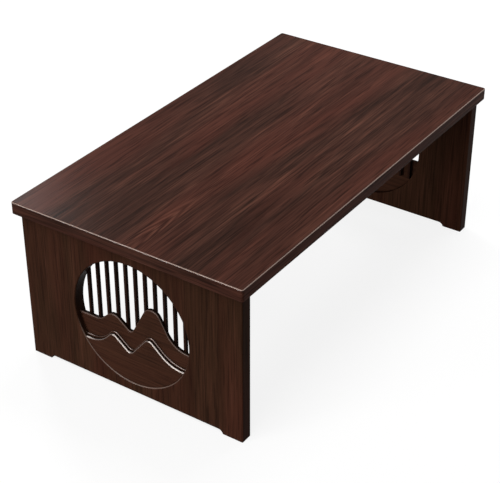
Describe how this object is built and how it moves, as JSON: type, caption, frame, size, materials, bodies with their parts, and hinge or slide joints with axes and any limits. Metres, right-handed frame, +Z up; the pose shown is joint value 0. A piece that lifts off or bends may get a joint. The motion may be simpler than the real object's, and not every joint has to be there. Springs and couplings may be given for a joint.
{
  "type": "folding low table",
  "caption": "Low floor table with a plain top on folding end panels, each with a round window of lattice bars and layered hills.",
  "frame": {"origin": "middle of the footprint, on the floor", "axes": "+X along the length to the right end, +Y across to the rear, +Z up"},
  "size_m": [0.8, 0.45, 0.3],
  "materials": {
    "top_walnut": "satin lacquered dark walnut, grain along the table",
    "panel_walnut": "satin lacquered dark walnut, upright grain",
    "hill_walnut": "satin lacquered dark walnut, level grain",
    "lattice_walnut": "satin lacquered dark walnut, fine upright grain",
    "hinge_steel": null,
    "bolt_steel": null,
    "magnet_case": null
  },
  "bodies": {
    "tabletop": {"left_front_hinge_top_leaf": "hinge_steel", "left_magnet_pad": "magnet_case", "left_rear_hinge_top_leaf": "hinge_steel", "left_strike_plate": "bolt_steel", "right_front_hinge_top_leaf": "hinge_steel", "right_magnet_pad": "magnet_case", "right_rear_hinge_top_leaf": "hinge_steel", "right_strike_plate": "bolt_steel", "top_board": "top_walnut"},
    "left_leg": {"left_back_hill_plate": "hill_walnut", "left_bolt_face_plate": "bolt_steel", "left_catch_plate": "bolt_steel", "left_end_panel": "panel_walnut", "left_front_hill_plate": "hill_walnut", "left_front_hinge_panel_leaf": "hinge_steel", "left_lattice_bar_01": "lattice_walnut", "left_lattice_bar_02": "lattice_walnut", "left_lattice_bar_03": "lattice_walnut", "left_lattice_bar_04": "lattice_walnut", "left_lattice_bar_05": "lattice_walnut", "left_lattice_bar_06": "lattice_walnut", "left_lattice_bar_07": "lattice_walnut", "left_lattice_bar_08": "lattice_walnut", "left_lattice_bar_09": "lattice_walnut", "left_lattice_bar_10": "lattice_walnut", "left_lattice_bar_11": "lattice_walnut", "left_middle_hill_plate": "hill_walnut", "left_rear_hinge_panel_leaf": "hinge_steel"},
    "right_leg": {"right_back_hill_plate": "hill_walnut", "right_bolt_face_plate": "bolt_steel", "right_catch_plate": "bolt_steel", "right_end_panel": "panel_walnut", "right_front_hill_plate": "hill_walnut", "right_front_hinge_panel_leaf": "hinge_steel", "right_lattice_bar_01": "lattice_walnut", "right_lattice_bar_02": "lattice_walnut", "right_lattice_bar_03": "lattice_walnut", "right_lattice_bar_04": "lattice_walnut", "right_lattice_bar_05": "lattice_walnut", "right_lattice_bar_06": "lattice_walnut", "right_lattice_bar_07": "lattice_walnut", "right_lattice_bar_08": "lattice_walnut", "right_lattice_bar_09": "lattice_walnut", "right_lattice_bar_10": "lattice_walnut", "right_lattice_bar_11": "lattice_walnut", "right_middle_hill_plate": "hill_walnut", "right_rear_hinge_panel_leaf": "hinge_steel"},
    "left_bolt": {"left_bolt_rod": "bolt_steel"},
    "right_bolt": {"right_bolt_rod": "bolt_steel"}
  },
  "joints": [
    {"name": "left_leg_fold", "type": "hinge", "parent": "tabletop", "child": "left_leg", "pos_m": [-0.3627, 0, 0.2747], "axis": [0, -1, 0], "range_deg": [0, 90]},
    {"name": "right_leg_fold", "type": "hinge", "parent": "tabletop", "child": "right_leg", "pos_m": [0.3627, 0, 0.2747], "axis": [0, 1, 0], "range_deg": [0, 90]},
    {"name": "left_bolt_slide", "type": "slide", "parent": "left_leg", "child": "left_bolt", "axis": [0, 0, 1], "range_m": [0, 0.008]},
    {"name": "right_bolt_slide", "type": "slide", "parent": "right_leg", "child": "right_bolt", "axis": [0, 0, 1], "range_m": [0, 0.008]}
  ]
}
